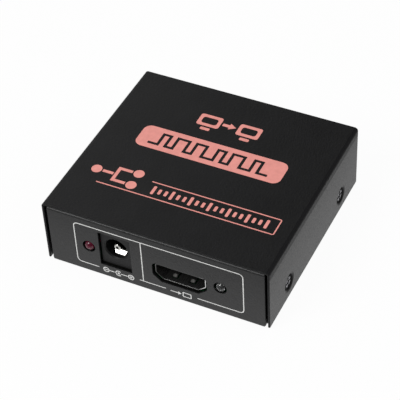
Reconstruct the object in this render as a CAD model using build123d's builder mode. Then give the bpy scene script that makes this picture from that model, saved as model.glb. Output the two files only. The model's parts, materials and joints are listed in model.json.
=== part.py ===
from build123d import *
from math import cos, radians, tan
import os

# A signal splitter with one input and two outputs in a folded sheet-metal case.
# The frame stands at the middle of the underside: X to the right seen from the front, Y to the back, Z up.

os.makedirs("parts", exist_ok=True)

FRONT = -1
REAR = 1
SIDES = (-1, 1)

# Case
case_width = 65.0
case_depth = 60.0
case_height = 20.45
sheet = 0.6
cover_bend_inside = 0.4
cover_foot_lift = 0.65
tray_bend_inside = 0.1
cover_gap = 0.3
panel_setback = 0.1
panel_side_gap = 0.7
panel_headroom = 0.4
panel_flange = 3.0
panel_edge_softness = 0.25
corner_cut_width = 0.5
corner_cut_height = 1.0
side_wall_height = 9.0
side_wall_corner = 1.5
relief_width = 1.0
edge_softness = 0.15
cutout_softness = 0.1
cut_overrun = 1.0

# Cover screws, two in each side, and their pressed seats
cover_screw_height = 5.55
cover_screw_front_edge = 12.5
cover_screw_rear_edge = 12.0
cover_screw_major = 3.0
cover_screw_length = 5.0
cover_screw_head = 4.7
cover_screw_recess = 0.35
cover_screw_point = 0.4
cover_seat_gap = 0.2
countersink_angle = 90
seat_softness = 0.8
thread_slack = 0.02

# Cross recesses of the screws
cross_span = 3.0
cross_slot = 0.62
cross_depth = 1.2
cross_taper_angle = 10
small_cross_share = 0.8

# Board, its standoffs and screws
board_thickness = 1.6
board_screw_gap = 1.05
board_end_gap = 0.7
board_corner = 1.0
standoff_height = 2.55
standoff_width = 4.6
standoff_shank = 3.6
board_screw_side_edge = 3.0
board_screw_front_edge = 9.3
board_screw_rear_edge = 18.8
board_screw_major = 2.5
board_screw_length = 3.5
board_screw_head = 4.5
board_screw_head_height = 1.7
board_screw_head_round = 0.7
board_hole_gap = 0.2
component_gap = 0.6

# Signal sockets, placed across the case by shares of its width
input_place_share = 0.1085
output_1_place_share = 0.235
output_2_place_share = -0.1415
socket_inset = 0.65
socket_width = 14.0
socket_height = 4.55
socket_slope_width = 2.1
socket_slope_height = 1.7
socket_corner = 0.4
socket_lift = 0.9
socket_depth = 11.2
shell_sheet = 0.3
shell_softness = 0.1
socket_cutout_gap = 0.55
leg_places = (2.6, 8.2)
leg_shoulder = 2.4
leg_width = 1.3
leg_protrusion = 0.6
leg_hole_gap = 0.3
spring_pitch = 5.1
spring_width = 1.5
spring_slit = 0.25
spring_root = 7.4
spring_bump = 2.4
spring_tip = 1.6
spring_dip = 0.55
spring_tip_dip = 0.25
insulator_front = 8.4
insulator_gap = 0.04
tongue_inset = 2.2
tongue_side_gap = 1.7
tongue_thickness = 1.75
tongue_lift = 1.5
tongue_bevel = 0.35
contact_inset = 2.9
contact_pitch = 1.0
contact_width = 0.36
contact_sheet = 0.15
contact_drop_gap = 0.15
contact_foot = 1.0
upper_contact_count = 10
lower_contact_count = 9

# Power jack
jack_place_share = -0.1788
jack_inset = 0.8
jack_width = 9.0
jack_height = 11.0
jack_length = 14.2
jack_flange = 3.5
jack_mouth_bevel = 0.35
jack_softness = 0.2
barrel_height = 6.0
barrel_bore = 6.4
barrel_depth = 9.5
jack_cutout_gap = 0.15
jack_cutout_drop = 0.4
pin_width = 2.1
pin_inset = 0.7
pin_round = 0.35
pin_bore = 0.9
pin_bore_depth = 2.0
pin_shank = 1.6
pin_head = 2.3
pin_head_height = 0.25
terminal_sheet = 0.3
terminal_width = 2.2
terminal_protrusion = 1.0
terminal_hole_gap = 0.3
pin_terminal_place = 13.65
pin_terminal_round = 1.5
terminal_recess_gap = 0.2
sleeve_terminal_back = 6.0
sleeve_terminal_run_height = 0.6
leaf_width = 3.4
leaf_sheet = 0.3
leaf_root = 11.6
leaf_root_height = 2.6
leaf_bump = 3.0
leaf_bump_height = 3.7
leaf_tip = 1.75
leaf_tip_height = 2.4
leaf_root_gap = 0.05
leaf_pocket_front = 1.1
leaf_pocket_side = 0.3
leaf_pocket_height = 3.3
leaf_pocket_back = 0.5
switch_terminal_side = 4.7
switch_terminal_back = 3.0
switch_arm_width = 1.6
switch_arm_height = 3.0
switch_arm_reach = 0.9
switch_slot_gap = 0.05

# Lights
power_led_place_share = -0.2982
input_led_place_share = 0.2876
output_1_led_place_share = 0.06
output_2_led_place_share = -0.317
led_height = 9.6
led_width = 3.0
led_flange_lip = 0.4
led_flange_thickness = 1.0
led_flange_flat = 0.3
led_length = 5.3
led_protrusion = 0.5
led_hole_gap = 0.35
led_lead = 0.5
led_lead_pitch = 2.54
led_lead_run = 1.6
led_lead_protrusion = 1.0
led_lead_hole_gap = 0.2
led_lead_bend = 0.5

# Splitter chip with leads on four sides, in the middle of the board's depth
chip_place_share = 0.024
chip_side = 10.0
chip_thickness = 1.4
chip_lift = 0.1
chip_lead_reach = 1.0
chip_lead_count = 16
chip_lead_pitch = 0.5
chip_lead_width = 0.22
chip_lead_sheet = 0.15
chip_foot = 0.6
chip_bevel = 0.15

# Memory chip
memory_length = 4.9
memory_width = 3.9
memory_thickness = 1.45
memory_lift = 0.1
memory_lead_reach = 1.05
memory_lead_count = 4
memory_lead_pitch = 1.27
memory_lead_width = 0.42
memory_lead_sheet = 0.2
memory_foot = 0.7

# Voltage regulators
regulator_length = 4.5
regulator_width = 2.5
regulator_thickness = 1.5
regulator_lift = 0.05
regulator_lead_reach = 0.8
regulator_lead_count = 3
regulator_lead_pitch = 1.5
regulator_lead_width = 0.45
regulator_tab_width = 1.7
regulator_lead_sheet = 0.2
regulator_foot = 0.5

# Input diode
diode_length = 4.3
diode_width = 2.6
diode_thickness = 2.0
diode_lift = 0.1
diode_lead_reach = 0.45
diode_lead_width = 1.4
diode_foot = 0.9

# Crystal
crystal_length = 10.8
crystal_width = 4.4
crystal_height = 3.2
crystal_base_lip = 0.25
crystal_base_thickness = 0.5
crystal_top_round = 0.5
crystal_lead_width = 0.8
crystal_lead_sheet = 0.3
crystal_lead_length = 1.6

# Electrolytic capacitors
capacitor_width = 5.0
capacitor_height = 5.4
capacitor_round = 0.3
capacitor_base_lip = 0.15
capacitor_base_thickness = 0.9
capacitor_base_corner = 1.2

# Chip resistors, chip capacitors and surge arrays
small_chip_length = 1.6
small_chip_width = 0.8
resistor_thickness = 0.45
resistor_pitch = 1.5
resistor_count = 6
chip_capacitor_thickness = 0.8
column_pitch = 2.0
chip_capacitor_count = 5
array_length = 2.5
array_width = 1.0
array_thickness = 0.5

# Worked out from the driving sizes
cover_bend_outside = cover_bend_inside + sheet
tray_bend_outside = tray_bend_inside + sheet
tray_width = case_width - 2 * (sheet + cover_gap)
tray_depth = case_depth - 2 * panel_setback
panel_width = case_width - 2 * (sheet + panel_side_gap)
panel_top = case_height - sheet - panel_headroom
panel_flat_top = panel_top - tray_bend_outside
side_wall_length = tray_depth - 2 * (tray_bend_outside + relief_width)
board_top = sheet + standoff_height + board_thickness
board_bottom = board_top - board_thickness
cover_screw_tip = case_width / 2 - cover_screw_recess - cover_screw_length
cover_seat_hole = cover_screw_major + 2 * cover_seat_gap
board_width = 2 * (cover_screw_tip - board_screw_gap)
board_depth = tray_depth - 2 * (sheet + board_end_gap)
countersink_slope = tan(radians(countersink_angle / 2))
cone_shift_share = 1 / cos(radians(countersink_angle / 2)) - countersink_slope
cone_shift = sheet * cone_shift_share
cover_seat_rim = cover_screw_head / 2 + cover_screw_recess * countersink_slope
tray_seat_rim = cover_seat_rim + (sheet + cover_gap) * cone_shift_share
board_hole = board_screw_major + 2 * board_hole_gap
socket_top = socket_lift + socket_height
contact_back = socket_depth + contact_drop_gap + contact_sheet
tongue_bottom = socket_lift + tongue_lift
tongue_top = tongue_bottom + tongue_thickness
sleeve_terminal_place = pin_terminal_place - sleeve_terminal_back
switch_terminal_place = pin_terminal_place - switch_terminal_back
terminal_reach = board_thickness + terminal_protrusion
jack_x = jack_place_share * case_width
jack_back = jack_inset + jack_length
led_flange = led_width + 2 * led_flange_lip
led_hole = led_width + 2 * led_hole_gap
led_lead_place = led_length + led_lead_run

# Places on the board, worked out from the pieces' sizes and the gap between them
chip_x = chip_place_share * case_width
chip_span = chip_side + 2 * chip_lead_reach
column_place = chip_span / 2 + component_gap + small_chip_length / 2
column_edge = column_place + small_chip_length / 2
regulator_span = regulator_width + 2 * regulator_lead_reach
regulator_x = chip_x + column_edge + component_gap + regulator_length / 2
regulator_y = (regulator_span + component_gap) / 2
memory_span = memory_width + 2 * memory_lead_reach
memory_x = regulator_x + regulator_length / 2 + component_gap + memory_length / 2
crystal_base_length = crystal_length + 2 * crystal_base_lip
crystal_base_width = crystal_width + 2 * crystal_base_lip
crystal_x = chip_x - column_edge - component_gap - crystal_base_width / 2
capacitor_base_side = capacitor_width + 2 * capacitor_base_lip
capacitor_x = crystal_x - crystal_base_width / 2 - component_gap - capacitor_base_side / 2
capacitor_y = (capacitor_base_side + component_gap) / 2
diode_span = diode_length + 2 * diode_lead_reach
diode_x = crystal_x - crystal_lead_width / 2 - component_gap - diode_span / 2
diode_y = jack_back + component_gap + diode_width / 2 - tray_depth / 2
small_row_place = socket_inset + contact_back + contact_foot + component_gap + array_length / 2
small_row_half = ((resistor_count - 1) * resistor_pitch + small_chip_width) / 2
array_pitch = 2 * (small_row_half + component_gap) + array_width


# Places and planes


def seat(x, side, inset):
    """Upright plane over the board's top face, facing out of a panel and set back from its outer face."""
    return Plane(
        origin=(x, side * (tray_depth / 2 - inset), board_top),
        x_dir=(-side, 0, 0),
        z_dir=(0, side, 0),
    )


def deck(plane):
    """Level plane at a seat's origin: x across, y into the case."""
    return Plane(origin=plane.origin, x_dir=plane.x_dir, z_dir=(0, 0, 1))


def flank(plane):
    """Upright plane at a seat's origin: x into the case, y up."""
    return Plane(origin=plane.origin, x_dir=-plane.z_dir, z_dir=plane.x_dir)


def side_seats(face):
    """Planes of the four cover screws, facing outwards, at a distance from the middle."""
    return [
        Plane(origin=(side * face, y, cover_screw_height), x_dir=(0, 1, 0), z_dir=(side, 0, 0))
        for side in SIDES
        for y in (cover_screw_front_edge - case_depth / 2, case_depth / 2 - cover_screw_rear_edge)
    ]


def lead_planes(place, angle, count, pitch):
    """Planes of a row of leads: x out of the package at the angle, y up, one plane for each lead."""
    out = Vector(1, 0, 0).rotate(Axis.Z, angle)
    along = out.cross(Vector(0, 0, 1))
    middle = Vector(place[0], place[1], board_top)
    return [
        Plane(origin=middle + along * pitch * (index - (count - 1) / 2), x_dir=out, z_dir=along)
        for index in range(count)
    ]


def gull_wing(body_half, span_half, height, foot, thickness):
    """Corners of a lead that leaves a package at a height and comes down to a flat foot."""
    heel = span_half - foot
    knee = (body_half + heel) / 2
    return (
        (body_half, height + thickness / 2),
        (knee + thickness / 2, height + thickness / 2),
        (heel + thickness / 2, thickness),
        (span_half, thickness),
        (span_half, 0),
        (heel - thickness / 2, 0),
        (knee - thickness / 2, height - thickness / 2),
        (body_half, height - thickness / 2),
    )


board_screw_places = [
    (side * (board_width / 2 - board_screw_side_edge), y)
    for side in SIDES
    for y in (board_screw_front_edge - board_depth / 2, board_depth / 2 - board_screw_rear_edge)
]
sockets = {
    "input": (input_place_share * case_width, FRONT),
    "output_1": (output_1_place_share * case_width, REAR),
    "output_2": (output_2_place_share * case_width, REAR),
}
lights = {
    "power": (power_led_place_share * case_width, FRONT),
    "input": (input_led_place_share * case_width, FRONT),
    "output_1": (output_1_led_place_share * case_width, REAR),
    "output_2": (output_2_led_place_share * case_width, REAR),
}
jack = seat(jack_x, FRONT, jack_inset)

# The thinnest strips of panel between two cut-outs, or over one, limit the softening of their rims
light_strips = [
    abs(light_x - socket_x) - (socket_width + led_hole) / 2 - shell_sheet - socket_cutout_gap
    for light_x, light_side in lights.values()
    for socket_x, socket_side in sockets.values()
    if light_side == socket_side
]
jack_strips = [
    abs(lights["power"][0] - jack_x) - (jack_width + led_hole) / 2 - jack_cutout_gap,
    panel_flat_top - board_top - jack_height - jack_cutout_gap,
]
rim_softness = min(cutout_softness, min(light_strips + jack_strips) / 3)

# Mouth of a signal socket, seen from outside and standing over the board
with BuildSketch() as socket_mouth:
    Polygon(
        (-socket_width / 2, socket_top),
        (-socket_width / 2, socket_lift + socket_slope_height),
        (-socket_width / 2 + socket_slope_width, socket_lift),
        (socket_width / 2 - socket_slope_width, socket_lift),
        (socket_width / 2, socket_lift + socket_slope_height),
        (socket_width / 2, socket_top),
        align=None,
    )
    fillet(socket_mouth.vertices(), socket_corner)

# Cover: a channel open downwards, with a pressed seat for each screw
with BuildPart() as top_cover:
    with BuildSketch(Plane.XZ):
        with BuildLine():
            cover_run = FilletPolyline(
                (-case_width / 2, cover_foot_lift),
                (-case_width / 2, case_height),
                (case_width / 2, case_height),
                (case_width / 2, cover_foot_lift),
                radius=cover_bend_outside,
            )
            offset(cover_run, amount=sheet, side=Side.RIGHT)
        make_face()
    extrude(amount=case_depth / 2, both=True)
    cover_levels = top_cover.edges().group_by(Axis.Y)
    cover_feet = top_cover.edges().filter_by(Axis.Y).group_by(Axis.Z)[0]
    fillet(cover_levels[0] + cover_levels[-1] + cover_feet, edge_softness)
    cover_seat_depth = (cover_seat_rim - cover_seat_hole / 2) / countersink_slope
    with Locations(side_seats(case_width / 2 - sheet)):
        Cone(
            cover_seat_hole / 2 + cone_shift,
            cover_seat_rim + cone_shift,
            cover_seat_depth,
            align=(Align.CENTER, Align.CENTER, Align.MAX),
        )
    with Locations(side_seats(case_width / 2)):
        CounterSinkHole(
            radius=cover_seat_hole / 2,
            counter_sink_radius=cover_seat_rim,
            depth=cover_seat_depth + sheet + cut_overrun,
            counter_sink_angle=countersink_angle,
        )
    cover_rims = [
        edge
        for edge in top_cover.edges().filter_by(GeomType.CIRCLE)
        if abs(edge.radius - cover_seat_rim) < cone_shift / 2
    ]
    fillet(cover_rims, seat_softness)
top_cover.part.label = "top_cover"
export_step(top_cover.part, "parts/top_cover.step")

# Tray: the floor with flanged front and rear panels and two low side walls, all one folded sheet
with BuildPart() as base_tray:
    with BuildSketch(Plane.YZ):
        with BuildLine():
            panel_run = FilletPolyline(
                (panel_flange - tray_depth / 2, panel_top),
                (-tray_depth / 2, panel_top),
                (-tray_depth / 2, 0),
                (tray_depth / 2, 0),
                (tray_depth / 2, panel_top),
                (tray_depth / 2 - panel_flange, panel_top),
                radius=tray_bend_outside,
            )
            offset(panel_run, amount=sheet, side=Side.LEFT)
        make_face()
    extrude(amount=panel_width / 2, both=True)
    panel_edges = [
        edge
        for edge in base_tray.edges().filter_by(Axis.Z)
        if abs(abs(edge.center().Y) - tray_depth / 2) < sheet / 2
    ]
    fillet(panel_edges, panel_edge_softness)
    with BuildSketch(Plane.XY):
        with GridLocations(tray_width - tray_bend_outside, 0, 2, 1):
            Rectangle(tray_bend_outside, tray_depth - 2 * tray_bend_outside)
    extrude(amount=sheet, mode=Mode.SUBTRACT)
    with BuildSketch(*[seat(0, side, 0) for side in (FRONT, REAR)]):
        with Locations((0, -board_top)):
            for hand in SIDES:
                Polygon(
                    (hand * (panel_width / 2 - corner_cut_width), 0),
                    (hand * (panel_width / 2 + corner_cut_width), 0),
                    (hand * (panel_width / 2 + corner_cut_width), 2 * corner_cut_height),
                    align=None,
                )
    extrude(amount=-tray_bend_outside, mode=Mode.SUBTRACT)
    with BuildSketch(Plane.XZ):
        with BuildLine():
            wall_run = FilletPolyline(
                (-tray_width / 2, side_wall_height),
                (-tray_width / 2, 0),
                (tray_width / 2, 0),
                (tray_width / 2, side_wall_height),
                radius=tray_bend_outside,
            )
            offset(wall_run, amount=sheet, side=Side.LEFT)
        make_face()
    extrude(amount=side_wall_length / 2, both=True)
    wall_corners = [
        edge
        for edge in base_tray.edges().filter_by(Axis.X)
        if abs(edge.center().Z - side_wall_height) < sheet / 2 and abs(edge.length - sheet) < sheet / 4
    ]
    fillet(wall_corners, side_wall_corner)
    tray_seat_depth = (tray_seat_rim - cover_screw_major / 2) / countersink_slope
    with Locations(side_seats(tray_width / 2 - sheet)):
        Cone(
            cover_screw_major / 2 + cone_shift,
            tray_seat_rim + cone_shift,
            tray_seat_depth,
            align=(Align.CENTER, Align.CENTER, Align.MAX),
        )
    with Locations(side_seats(tray_width / 2)):
        CounterSinkHole(
            radius=cover_screw_major / 2,
            counter_sink_radius=tray_seat_rim,
            depth=tray_seat_depth + sheet + cut_overrun,
            counter_sink_angle=countersink_angle,
        )
    with BuildSketch(*[seat(x, side, 0) for x, side in sockets.values()]):
        offset(socket_mouth.sketch, amount=shell_sheet + socket_cutout_gap)
    extrude(amount=-sheet, mode=Mode.SUBTRACT)
    with BuildSketch(*[seat(x, side, 0) for x, side in lights.values()]):
        with Locations((0, led_height - board_top)):
            Circle(led_hole / 2)
    extrude(amount=-sheet, mode=Mode.SUBTRACT)
    with BuildSketch(seat(jack_x, FRONT, 0)):
        with Locations((0, -jack_cutout_drop)):
            Rectangle(
                jack_width + 2 * jack_cutout_gap,
                jack_cutout_drop + jack_height + jack_cutout_gap,
                align=(Align.CENTER, Align.MIN),
            )
    extrude(amount=-sheet, mode=Mode.SUBTRACT)
    with BuildSketch(Plane.XY):
        with Locations(board_screw_places):
            Circle(standoff_shank / 2)
    extrude(amount=sheet, mode=Mode.SUBTRACT)
    panel_levels = base_tray.faces().group_by(Axis.Y)
    cutout_rims = [
        edge
        for face in panel_levels[0] + panel_levels[-1]
        for wire in face.inner_wires()
        for edge in wire.edges()
    ]
    fillet(cutout_rims, rim_softness)
base_tray.part.label = "base_tray"
export_step(base_tray.part, "parts/base_tray.step")

# Countersunk cover screws with a cross recess
with BuildPart() as cover_screws:
    heads = side_seats(case_width / 2 - cover_screw_recess)
    head_depth = ((cover_screw_head - cover_screw_major) / 2 + thread_slack) / countersink_slope
    with Locations(heads):
        Cone(
            cover_screw_major / 2 - thread_slack,
            cover_screw_head / 2,
            head_depth,
            align=(Align.CENTER, Align.CENTER, Align.MAX),
        )
        Cylinder(
            cover_screw_major / 2 - thread_slack,
            cover_screw_length,
            align=(Align.CENTER, Align.CENTER, Align.MAX),
        )
    points = cover_screws.faces().filter_by(Axis.X).filter_by(
        lambda face: abs(abs(face.center().X) - cover_screw_tip) < cover_screw_point
    )
    chamfer(points.edges(), cover_screw_point)
    with BuildSketch(*heads):
        Rectangle(cross_span, cross_slot)
        Rectangle(cross_slot, cross_span)
    extrude(amount=-cross_depth, taper=cross_taper_angle, mode=Mode.SUBTRACT)
cover_screws.part.label = "cover_screws"
export_step(cover_screws.part, "parts/cover_screws.step")

# Standoffs clinched into the floor
with BuildPart() as board_standoffs:
    with BuildSketch(Plane.XY):
        with Locations(board_screw_places):
            Circle(standoff_shank / 2)
    extrude(amount=sheet)
    with BuildSketch(Plane.XY.offset(sheet)):
        with Locations(board_screw_places):
            Circle(standoff_width / 2)
    extrude(amount=standoff_height)
    with BuildSketch(Plane.XY):
        with Locations(board_screw_places):
            Circle(board_screw_major / 2)
    extrude(amount=sheet + standoff_height, mode=Mode.SUBTRACT)
board_standoffs.part.label = "board_standoffs"
export_step(board_standoffs.part, "parts/board_standoffs.step")

# Pan-head board screws with a cross recess
with BuildPart() as board_screws:
    with BuildSketch(Plane.XY.offset(board_top)):
        with Locations(board_screw_places):
            Circle(board_screw_head / 2)
    extrude(amount=board_screw_head_height)
    head_tops = board_screws.faces().group_by(Axis.Z)[-1]
    fillet(head_tops.edges(), board_screw_head_round)
    with BuildSketch(Plane.XY.offset(board_top)):
        with Locations(board_screw_places):
            Circle(board_screw_major / 2 - thread_slack)
    extrude(amount=-board_screw_length)
    with BuildSketch(Plane.XY.offset(board_top + board_screw_head_height)):
        with Locations(board_screw_places):
            Rectangle(cross_span * small_cross_share, cross_slot * small_cross_share)
            Rectangle(cross_slot * small_cross_share, cross_span * small_cross_share)
    extrude(amount=-cross_depth * small_cross_share, taper=cross_taper_angle, mode=Mode.SUBTRACT)
board_screws.part.label = "board_screws"
export_step(board_screws.part, "parts/board_screws.step")

# Board, drilled for its screws, the sockets' legs, the jack's terminals and the lights' leads
with BuildPart() as circuit_board:
    with BuildSketch(Plane.XY.offset(board_bottom)):
        RectangleRounded(board_width, board_depth, board_corner)
        with Locations(board_screw_places):
            Circle(board_hole / 2, mode=Mode.SUBTRACT)
        for x, side in sockets.values():
            for place in leg_places:
                with Locations((x, side * (tray_depth / 2 - socket_inset - place))):
                    with GridLocations(socket_width + shell_sheet, 0, 2, 1):
                        SlotOverall(
                            leg_width + 2 * leg_hole_gap,
                            shell_sheet + 2 * leg_hole_gap,
                            rotation=90,
                            mode=Mode.SUBTRACT,
                        )
        for x, side in lights.values():
            with Locations((x, side * (tray_depth / 2 + led_protrusion - led_lead_place))):
                with GridLocations(led_lead_pitch, 0, 2, 1):
                    Circle(led_lead / 2 + led_lead_hole_gap, mode=Mode.SUBTRACT)
        jack_front = -(tray_depth / 2 - jack_inset)
        terminal_slot = (terminal_width + 2 * terminal_hole_gap, terminal_sheet + 2 * terminal_hole_gap)
        for place in (pin_terminal_place, sleeve_terminal_place):
            with Locations((jack_x, jack_front + place)):
                SlotOverall(*terminal_slot, mode=Mode.SUBTRACT)
        with Locations((jack_x + switch_terminal_side, jack_front + switch_terminal_place)):
            SlotOverall(*terminal_slot, rotation=90, mode=Mode.SUBTRACT)
    extrude(amount=board_thickness)
circuit_board.part.label = "circuit_board"
export_step(circuit_board.part, "parts/circuit_board.step")

# Signal sockets: a folded shell with lanced springs, an insulator with its tongue, and two rows of contacts
for name, (x, side) in sockets.items():
    mouth = seat(x, side, socket_inset)
    profile = flank(mouth)

    with BuildPart() as shell:
        with BuildSketch(mouth):
            offset(socket_mouth.sketch, amount=shell_sheet)
            add(socket_mouth.sketch, mode=Mode.SUBTRACT)
        extrude(amount=-socket_depth)
        fillet(shell.faces().sort_by(Axis.Y)[0 if side == FRONT else -1].edges(), shell_softness)
        with BuildSketch(deck(mouth).offset(socket_top + shell_sheet)):
            with Locations((0, (spring_root + spring_tip - spring_slit) / 2)):
                with GridLocations(spring_pitch, 0, 2, 1):
                    Rectangle(spring_width + 2 * spring_slit, spring_root - spring_tip + spring_slit)
        extrude(amount=-2 * shell_sheet, mode=Mode.SUBTRACT)
        with BuildSketch(deck(mouth).offset(socket_lift - shell_sheet)):
            with Locations((0, (spring_root + spring_tip - spring_slit) / 2)):
                with GridLocations(spring_pitch, 0, 2, 1):
                    Rectangle(spring_width + 2 * spring_slit, spring_root - spring_tip + spring_slit)
        extrude(amount=2 * shell_sheet, mode=Mode.SUBTRACT)
        with BuildSketch(*[profile.offset(hand * spring_pitch / 2) for hand in SIDES]):
            for level, inwards in ((socket_top + shell_sheet, -1), (socket_lift - shell_sheet, 1)):
                Polygon(
                    (spring_root, level),
                    (spring_bump, level + inwards * spring_dip),
                    (spring_tip, level + inwards * spring_tip_dip),
                    (spring_tip, level + inwards * (spring_tip_dip + shell_sheet)),
                    (spring_bump, level + inwards * (spring_dip + shell_sheet)),
                    (spring_root, level + inwards * shell_sheet),
                    align=None,
                )
        extrude(amount=spring_width / 2, both=True)
        with BuildSketch(*[profile.offset(hand * (socket_width + shell_sheet) / 2) for hand in SIDES]):
            for place in leg_places:
                with Locations((place, 0)):
                    Rectangle(
                        leg_shoulder,
                        socket_lift + socket_slope_height + socket_corner,
                        align=(Align.CENTER, Align.MIN),
                    )
                    Rectangle(
                        leg_width,
                        board_thickness + leg_protrusion,
                        align=(Align.CENTER, Align.MAX),
                    )
        extrude(amount=shell_sheet / 2, both=True)
    shell.part.label = f"{name}_socket_shell"
    export_step(shell.part, f"parts/{name}_socket_shell.step")

    with BuildPart() as contacts:
        for count, level, skin in (
            (upper_contact_count, tongue_top, -contact_sheet),
            (lower_contact_count, tongue_bottom + contact_sheet, -contact_sheet),
        ):
            rows = [
                profile.offset(contact_pitch * (index - (count - 1) / 2)) for index in range(count)
            ]
            with BuildSketch(*rows):
                Polygon(
                    (contact_inset, level),
                    (contact_back, level),
                    (contact_back, contact_sheet),
                    (contact_back + contact_foot, contact_sheet),
                    (contact_back + contact_foot, 0),
                    (contact_back - contact_sheet, 0),
                    (contact_back - contact_sheet, level + skin),
                    (contact_inset, level + skin),
                    align=None,
                )
            extrude(amount=contact_width / 2, both=True)
    contacts.part.label = f"{name}_socket_contacts"
    export_step(contacts.part, f"parts/{name}_socket_contacts.step")

    with BuildPart() as insulator:
        with BuildSketch(mouth.offset(-insulator_front)):
            offset(socket_mouth.sketch, amount=-insulator_gap)
        extrude(amount=-(socket_depth - insulator_front))
        with BuildSketch(mouth.offset(-insulator_front)):
            with Locations((0, (tongue_top + tongue_bottom) / 2)):
                Rectangle(socket_width - 2 * tongue_side_gap, tongue_thickness)
        extrude(amount=insulator_front - tongue_inset)
        tongue_edges = insulator.faces().sort_by(Axis.Y)[0 if side == FRONT else -1].edges()
        chamfer(tongue_edges, tongue_bevel)
        add(contacts.part, mode=Mode.SUBTRACT)
    insulator.part.label = f"{name}_socket_insulator"
    export_step(insulator.part, f"parts/{name}_socket_insulator.step")

# Power jack: a moulded housing around a centre pin, with a sprung leaf under the barrel
with BuildPart() as power_jack_housing:
    with BuildSketch(jack):
        Rectangle(jack_width, jack_height, align=(Align.CENTER, Align.MIN))
    extrude(amount=-jack_flange)
    fillet(power_jack_housing.faces().sort_by(Axis.Y)[0].edges(), jack_softness)
    with BuildSketch(jack.offset(-jack_flange)):
        Rectangle(jack_width, barrel_height, align=(Align.CENTER, Align.MIN))
        with Locations((0, barrel_height)):
            Circle(jack_width / 2)
    extrude(amount=-(jack_length - jack_flange))
    with BuildSketch(jack):
        with Locations((0, barrel_height)):
            Circle(barrel_bore / 2)
    extrude(amount=-barrel_depth, mode=Mode.SUBTRACT)
    mouth_rim = power_jack_housing.edges().filter_by(GeomType.CIRCLE).group_by(Axis.Y)[0]
    chamfer(mouth_rim, jack_mouth_bevel)
    with BuildSketch(jack):
        with Locations((0, barrel_height)):
            Circle(pin_shank / 2)
    extrude(amount=-jack_length, mode=Mode.SUBTRACT)
    with BuildSketch(flank(jack)):
        with Locations((leaf_pocket_front, 0)):
            Rectangle(
                leaf_root + leaf_sheet / 2 + leaf_pocket_back - leaf_pocket_front,
                leaf_pocket_height,
                align=(Align.MIN, Align.MIN),
            )
    extrude(amount=leaf_width / 2 + leaf_pocket_side, both=True, mode=Mode.SUBTRACT)
    recess_front = pin_terminal_place - terminal_sheet / 2
    with BuildSketch(jack.offset(-recess_front)):
        Rectangle(
            terminal_width + 2 * terminal_recess_gap,
            barrel_height + pin_terminal_round + terminal_recess_gap,
            align=(Align.CENTER, Align.MIN),
        )
    extrude(amount=-(jack_length - recess_front), mode=Mode.SUBTRACT)
    with BuildSketch(jack.offset(-(switch_terminal_place - switch_arm_width / 2 - switch_slot_gap))):
        with Locations((0, switch_arm_height - switch_slot_gap)):
            Rectangle(
                jack_width / 2,
                terminal_sheet + 2 * switch_slot_gap,
                align=(Align.MIN, Align.MIN),
            )
    extrude(amount=-(switch_arm_width + 2 * switch_slot_gap), mode=Mode.SUBTRACT)
power_jack_housing.part.label = "power_jack_housing"
export_step(power_jack_housing.part, "parts/power_jack_housing.step")

with BuildPart() as power_jack_pin:
    with BuildSketch(jack.offset(-barrel_depth)):
        with Locations((0, barrel_height)):
            Circle(pin_width / 2)
    extrude(amount=barrel_depth - pin_inset)
    pin_nose = power_jack_pin.faces().sort_by(Axis.Y)[0].edges()
    fillet(pin_nose, pin_round)
    with BuildSketch(jack.offset(-pin_inset)):
        with Locations((0, barrel_height)):
            Circle(pin_bore / 2)
    extrude(amount=-pin_bore_depth, mode=Mode.SUBTRACT)
    pin_back = pin_terminal_place + terminal_sheet / 2
    with BuildSketch(jack.offset(-barrel_depth)):
        with Locations((0, barrel_height)):
            Circle(pin_shank / 2)
    extrude(amount=-(pin_back - barrel_depth))
    with BuildSketch(jack.offset(-pin_back)):
        with Locations((0, barrel_height)):
            Circle(pin_head / 2)
    extrude(amount=-pin_head_height)
power_jack_pin.part.label = "power_jack_pin"
export_step(power_jack_pin.part, "parts/power_jack_pin.step")

with BuildPart() as power_jack_pin_terminal:
    with BuildSketch(jack.offset(-(pin_terminal_place - terminal_sheet / 2))):
        with Locations((0, -terminal_reach)):
            Rectangle(
                terminal_width,
                terminal_reach + barrel_height + pin_terminal_round,
                align=(Align.CENTER, Align.MIN),
            )
        with Locations((0, barrel_height)):
            Circle(pin_shank / 2, mode=Mode.SUBTRACT)
    extrude(amount=-terminal_sheet)
power_jack_pin_terminal.part.label = "power_jack_pin_terminal"
export_step(power_jack_pin_terminal.part, "parts/power_jack_pin_terminal.step")

with BuildPart() as power_jack_sleeve_terminal:
    half = terminal_sheet / 2
    with BuildSketch(flank(jack)):
        Polygon(
            (sleeve_terminal_place - half, -terminal_reach),
            (sleeve_terminal_place + half, -terminal_reach),
            (sleeve_terminal_place + half, sleeve_terminal_run_height - half),
            (leaf_root + half, sleeve_terminal_run_height - half),
            (leaf_root + half, leaf_root_height - leaf_sheet / 2 - leaf_root_gap),
            (leaf_root - half, leaf_root_height - leaf_sheet / 2 - leaf_root_gap),
            (leaf_root - half, sleeve_terminal_run_height + half),
            (sleeve_terminal_place - half, sleeve_terminal_run_height + half),
            align=None,
        )
    extrude(amount=terminal_width / 2, both=True)
power_jack_sleeve_terminal.part.label = "power_jack_sleeve_terminal"
export_step(power_jack_sleeve_terminal.part, "parts/power_jack_sleeve_terminal.step")

with BuildPart() as power_jack_sleeve_leaf:
    with BuildSketch(flank(jack)):
        with BuildLine():
            leaf_run = Polyline(
                (leaf_root, leaf_root_height),
                (leaf_bump, leaf_bump_height),
                (leaf_tip, leaf_tip_height),
            )
            offset(leaf_run, amount=leaf_sheet / 2, side=Side.BOTH)
        make_face()
    extrude(amount=leaf_width / 2, both=True)
power_jack_sleeve_leaf.part.label = "power_jack_sleeve_leaf"
export_step(power_jack_sleeve_leaf.part, "parts/power_jack_sleeve_leaf.step")

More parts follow.
